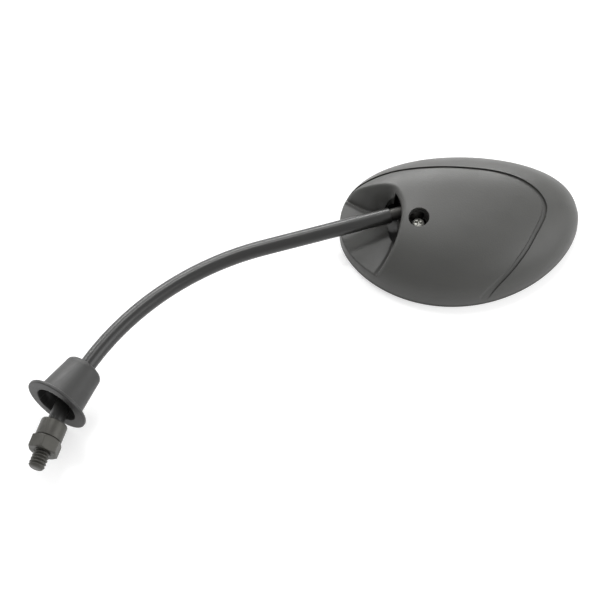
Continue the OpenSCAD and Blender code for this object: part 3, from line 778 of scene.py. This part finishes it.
# The rows are close together beside each face, where the corners are turned off.
z = np.concatenate([np.linspace(0, 1.4, 12), np.linspace(1.6, NUT_H - 1.6, 8),
                    np.linspace(NUT_H - 1.4, NUT_H, 12)])
r = np.vstack([nut_ring(BORE_R), nut_ring(BORE_MOUTH_R), nut_radius(z[:, None], around(NUT_SIDES)[None, :]),
               nut_ring(BORE_MOUTH_R), nut_ring(BORE_R), nut_ring(BORE_R)])
heights = np.concatenate([[BORE_CHAMFER, 0.0], z, [NUT_H, NUT_H - BORE_CHAMFER, BORE_CHAMFER]])[:, None]
nut = spin("lock_nut_turned", r, heights, NUT_SIDES, [0, 0, NUT_Z], X, Y, Z)
dress(nut, "nut", "black_zinc_steel", "lock_nut", sharp=30)

# %% [markdown]
# The boot is soft rubber, moulded with a wide flange and two notches inside its mouth.
# It grips the tube with its top. The soft rubber leans from square by two degrees sideways, and by three away
# from the table, because its flange is as wide as the stem is high and the table pushes it up.

# %% Boot
# The boot's height, the length of its grip, how far it is pushed up, and its leans to the side and away.
BOOT_H, GRIP, BOOT_LIFT, HANG, PUSH = 31.0, 2.4, 31.0, math.radians(2), math.radians(3)
BOOT_MOUTH_R, BOOT_SIDES = 13.5, 160
NOTCH_TURN, NOTCH_HALF, NOTCH_H, NOTCH_DEPTH = math.radians(35), 2.5, 6.5, 0.7
LEAN = math.asin((BOOT_LIFT + BOOT_H - GRIP - BEND_Z) / BEND_R)
boot_x = np.array([math.cos(LEAN + HANG), 0, math.sin(LEAN + HANG)])
straight = np.array([-math.sin(LEAN + HANG), 0, math.cos(LEAN + HANG)])
boot_y = math.cos(PUSH) * Y + math.sin(PUSH) * straight
boot_z = math.cos(PUSH) * straight - math.sin(PUSH) * Y
on_bend = np.array([-BEND_R * (1 - math.cos(LEAN)), 0, BEND_Z + BEND_R * math.sin(LEAN)])
boot_at = on_bend + boot_z * (GRIP / 2 - BOOT_H)


def inside_edge(distance, soft, most=1.0):
    """Falls from most to 0 where a distance passes 0: most / (1 + e to the power of distance / soft)."""
    return most / (1 + np.exp(distance / soft))


corner = rounded([[5.3, 28.2], [5.3, 30.3], [11.9, 30.3], [12.2, 25.5], [15.0, 2.9], [20.5, 2.2], [20.5, 0.0],
                  [13.6, 0.0], [13.4, 4.0], [9.85, 26.6], [8.4, 28.2]],
                 [0.3, 0.5, 3.6, 1.0, 0.9, 0.8, 0.7, 0.6, 1.0, 1.2, 0.5])
corner = closer(np.vstack([corner, corner[:1]]), 0.9)
from_notch = np.abs((around(BOOT_SIDES) + NOTCH_TURN + np.pi / 2) % np.pi - np.pi / 2)
notch = inside_edge(from_notch * BOOT_MOUTH_R - NOTCH_HALF, 0.15)
inner_wall = (corner[:, 0] < 14.0) & (corner[:, 1] < 12)
depth = np.where(inner_wall, inside_edge(corner[:, 1] - NOTCH_H, 0.35, NOTCH_DEPTH), 0)
r = np.repeat(corner[:, :1], BOOT_SIDES, 1) + depth[:, None] * notch[None, :]
boot = spin("boot", r, corner[:, 1:], BOOT_SIDES, boot_at, boot_x, boot_y, boot_z)
dress(boot, "boot", "boot_rubber", "rubber_boot", sharp=50)

# %% [markdown]
# The bezel is one profile carried round the egg. The glass is slightly convex, as on most such mirrors,
# and its edge hides under the bezel's lip.

# %% Bezel and glass
# How far the glass lies inside the outline, how much it bulges, and the height of its back.
GLASS_INSET, GLASS_BULGE, GLASS_BACK = 3.6, 0.8, 3.0

angles = even_angles(300)
profile = rounded([[0, 1], [0, 0], [5, 0], [5, 1], [3.4, 1], [3.4, 4], [2.5, 4], [2.5, 1]],
                  [0.25, 0.45, 0.5, 0.2, 0.1, 0.2, 0.2, 0.1], 4)
profile = np.vstack([profile, profile[:1]])
edge = [outline(angles, d) for d in profile[:, 0]]
points = np.stack([on_head(x, y, np.full_like(x, z)) for (x, y), z in zip(edge, profile[:, 1])])
dress(make_grid("bezel", points), "head", "bezel_plastic", "rim_bezel")

glass_x, glass_y = outline(angles, GLASS_INSET)
front = np.linspace(0, 1, 26) ** 0.8 * 0.995
share = np.concatenate([front, [1.0, 1.0, 0.995, 0.5, 0.0]])
height = np.concatenate([1 - GLASS_BULGE * (1 - front ** 2), [1.25, 2.75], np.full(3, GLASS_BACK)])
points = np.stack([on_head(*from_crown(glass_x, glass_y, k), np.full_like(glass_x, h))
                   for k, h in zip(share, height)])
dress(make_grid("glass", points), "head", "mirror_glass", "mirror_glass")

# %% [markdown]
# The clamp screw shows at the bottom of its hole. Its pan head has a cross recess, pressed into the turned
# shape.

# %% Clamp screw
# The pan head's seat, measured in the head, its radius, and the heights of its edge and top over the seat.
SCREW_Z, PAN_R, PAN_EDGE_Z, PAN_TOP, SCREW_SIDES = 22.6, 3.8, 1.9, 3.0, 144
RECESS_TURN, RECESS_DEPTH = math.radians(20), 1.5


def arm(along, across):
    """1 within an arm of the cross, which is 4.6 by 1.24 mm at its top, falling to 0 by sloping sides."""
    return np.minimum(ramp(2.3 - np.abs(along), 0.35), ramp(0.62 - np.abs(across), 0.25))


pan = rounded([[0, PAN_TOP], [2.6, PAN_TOP], [PAN_R, PAN_EDGE_Z], [PAN_R, 0], [2, 0], [2, -11], [0, -11]],
              [0, 1.0, 0.5, 0.15, 0.05, 0.3, 0], 5)
flat_top = np.stack([np.linspace(0.08, 1.5, 18), np.full(18, PAN_TOP)], -1)
pan = closer(np.vstack([[[0, PAN_TOP]], flat_top, pan[5:], [[0, -11]]]), 0.22)
r = np.repeat(pan[:, :1], SCREW_SIDES, 1)
z = np.repeat(pan[:, 1:], SCREW_SIDES, 1)
turn = around(SCREW_SIDES) + RECESS_TURN
x, y = r * np.cos(turn), r * np.sin(turn)
z = z - np.where(z > PAN_EDGE_Z, RECESS_DEPTH * np.maximum(arm(x, y), arm(y, x)), 0)
screw_at = on_head(np.array(SCREW_X), np.array(SCREW_Y), np.array(SCREW_Z)) / MM
screw = spin("clamp_screw_head", r, z, SCREW_SIDES, screw_at, HEAD_X, HEAD_Y, HEAD_Z)
dress(screw, "head", "bright_zinc", "clamp_screw", sharp=30)
